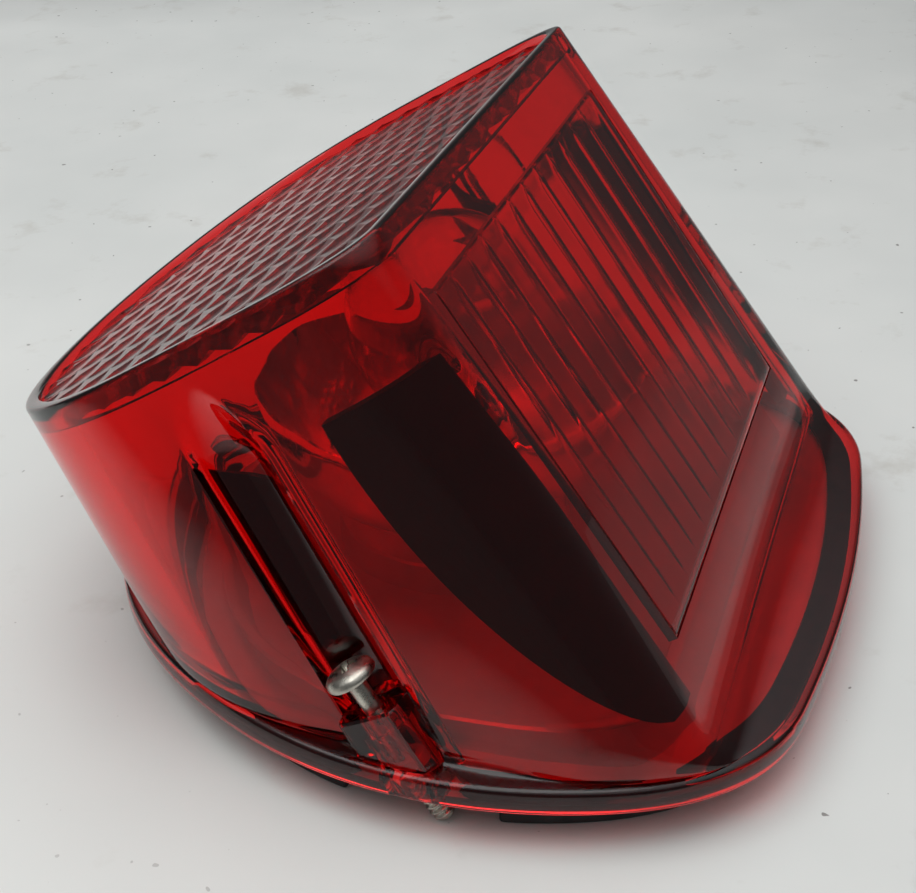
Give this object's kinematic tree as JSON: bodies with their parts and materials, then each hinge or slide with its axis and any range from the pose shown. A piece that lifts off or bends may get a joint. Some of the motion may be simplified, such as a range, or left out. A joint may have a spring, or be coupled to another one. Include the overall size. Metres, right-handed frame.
{
  "type": "motorcycle tail light",
  "caption": "Leaning red tail light with a reflex end, a fluted window, a twist-lock bulb and captive lens screws.",
  "frame": {"origin": "on the mounting plane under the pads, on the plane of symmetry, 53 mm from the straight side of the flange", "axes": "+Z away from the mounting plane, +X across the width, +Y the way the lens leans (towards the rounded end)"},
  "size_m": [0.1204, 0.1182, 0.0749],
  "materials": {
    "red_lens": "clear red, moulded",
    "red_reflex": "prism backed",
    "red_window": "clear red, fluted inside",
    "gasket_rubber": "soft",
    "black_housing": "satin",
    "black_shade": "matte",
    "pad_rubber": "matte",
    "metallised": "vacuum metallised",
    "socket_plastic": "satin",
    "plated_steel": "plated",
    "spring_steel": "drawn wire",
    "phenolic": "pressed board",
    "brass": "dull",
    "vitrite": "glazed",
    "solder": "dull",
    "clear_glass": "blown",
    "tungsten": "drawn wire",
    "screw_steel": "nickel plated, a little worn",
    "nylon": "natural, satin"
  },
  "bodies": {
    "lamp": {"lens_shell": "red_lens", "reflex_reflector": "red_reflex", "optic_window": "red_window", "lens_gasket": "gasket_rubber", "rear_housing": "black_housing", "corner_shade_left": "black_shade", "corner_shade_right": "black_shade", "channel_shroud_left": "black_shade", "channel_shroud_right": "black_shade", "mounting_pads": "pad_rubber", "reflector_bowl": "metallised"},
    "socket": {"bulb_socket": "socket_plastic", "socket_seal": "gasket_rubber", "socket_sleeve": "plated_steel", "terminal_blades": "brass", "contact_spring": "spring_steel"},
    "carrier": {"contact_carrier": "phenolic", "contact_plungers": "brass"},
    "bulb": {"bulb_cap": "brass", "bulb_insulator": "vitrite", "bulb_solder": "solder", "bulb_glass": "clear_glass", "bulb_stem": "clear_glass", "bulb_filaments": "tungsten"},
    "retainer_left": {"screw_retainer_left": "nylon"},
    "screw_left": {"lens_screw_left": "screw_steel"},
    "retainer_right": {"screw_retainer_right": "nylon"},
    "screw_right": {"lens_screw_right": "screw_steel"}
  },
  "joints": [
    {"name": "screw_left_slide", "type": "slide", "parent": "lamp", "child": "retainer_left", "axis": [0, 0.515, 0.8572], "range_m": [-0.0043, 0.0044]},
    {"name": "screw_left_spin", "type": "hinge", "parent": "retainer_left", "child": "screw_left", "pos_m": [-0.0558, 0.02716, 0.06021], "axis": [0, 0.515, 0.8572], "continuous": true},
    {"name": "screw_right_slide", "type": "slide", "parent": "lamp", "child": "retainer_right", "axis": [0, 0.515, 0.8572], "range_m": [-0.0043, 0.0044]},
    {"name": "screw_right_spin", "type": "hinge", "parent": "retainer_right", "child": "screw_right", "pos_m": [0.0558, 0.02716, 0.06021], "axis": [0, 0.515, 0.8572], "continuous": true},
    {"name": "socket_twist", "type": "hinge", "parent": "lamp", "child": "socket", "pos_m": [0, 0.009, 0.012], "axis": [0, 0, 1], "range_deg": [0, 40]},
    {"name": "bulb_turn", "type": "hinge", "parent": "socket", "child": "bulb", "pos_m": [0, 0.009, 0.016], "axis": [0, 0, 1], "range_deg": [0, 26]},
    {"name": "contact_travel", "type": "slide", "parent": "socket", "child": "carrier", "axis": [0, 0, 1], "range_m": [-0.0008, 0], "stiffness_N_per_m": 600, "springref_m": 0.001, "deforming": ["contact_spring"]}
  ]
}
